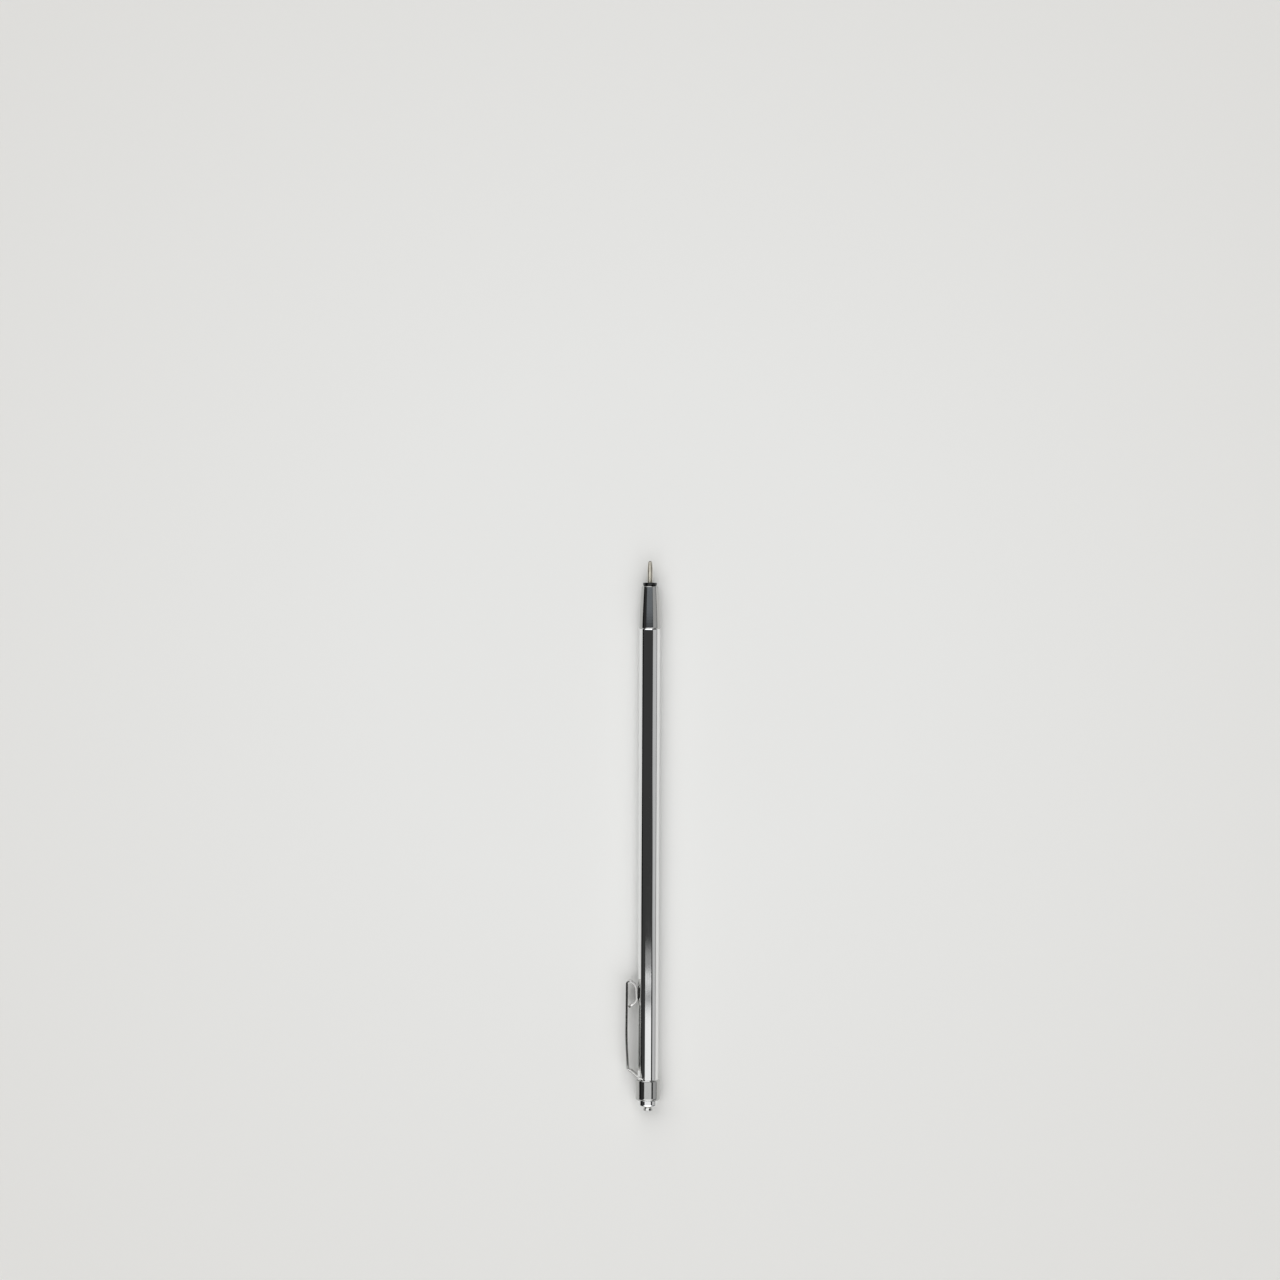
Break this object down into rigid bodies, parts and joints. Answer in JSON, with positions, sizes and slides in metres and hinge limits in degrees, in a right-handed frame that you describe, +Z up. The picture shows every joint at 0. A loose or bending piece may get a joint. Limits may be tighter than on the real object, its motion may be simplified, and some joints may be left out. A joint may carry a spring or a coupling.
{
  "type": "ballpoint pen",
  "caption": "Slim pocket ballpoint pen with a polished tube barrel, tapered nose, needle-point refill, spring-strip clip and a small push-pull button at the tail.",
  "frame": {"origin": "on the table under the middle of the pen's bounding box, with the pen lying as pictured and its tip pushed out", "axes": "+Y runs along the pen towards the writing tip, the clip lies to -X and +Z is up from the table"},
  "size_m": [0.006, 0.095, 0.0042],
  "materials": {
    "chrome_plate": "mirror polish",
    "black_resin": "gloss",
    "spring_steel": "polished spring strip",
    "stainless_steel": "drawn and turned",
    "tungsten_carbide": "ground",
    "brass": "drawn and turned",
    "nickel_silver": "turned",
    "white_acetal": "moulded",
    "black_ink": "paste"
  },
  "bodies": {
    "barrel": {"barrel_tube": "chrome_plate", "clip_sleeve": "chrome_plate", "tail_bush": "chrome_plate", "detent_keeper": "brass", "detent_ring": "spring_steel"},
    "nose": {"nose_cone": "chrome_plate", "tip_bush": "black_resin"},
    "clip": {"clip_strip": "spring_steel"},
    "plunger": {"push_rod": "stainless_steel", "push_button": "chrome_plate", "refill_carrier": "white_acetal", "refill_tube": "brass", "needle_holder": "nickel_silver", "needle_tube": "stainless_steel", "ink_column": "black_ink"},
    "ball": {"writing_ball": "tungsten_carbide"}
  },
  "joints": [
    {"name": "button_slide", "type": "slide", "parent": "barrel", "child": "plunger", "axis": [0, 1, 0], "range_m": [-0.0044, 0]},
    {"name": "nose_cone_off", "type": "slide", "parent": "barrel", "child": "nose", "axis": [0, 1, 0], "range_m": [0, 0.0045]},
    {"name": "clip_flex", "type": "hinge", "parent": "barrel", "child": "clip", "pos_m": [0.00008, -0.04347, 0.00212], "axis": [0, 0, 1], "range_deg": [0, 4], "stiffness_Nm_per_rad": 0.1},
    {"name": "ball_roll", "type": "hinge", "parent": "plunger", "child": "ball", "pos_m": [0.00091, 0.04727, 0.00212], "axis": [1, 0, 0], "continuous": true}
  ]
}
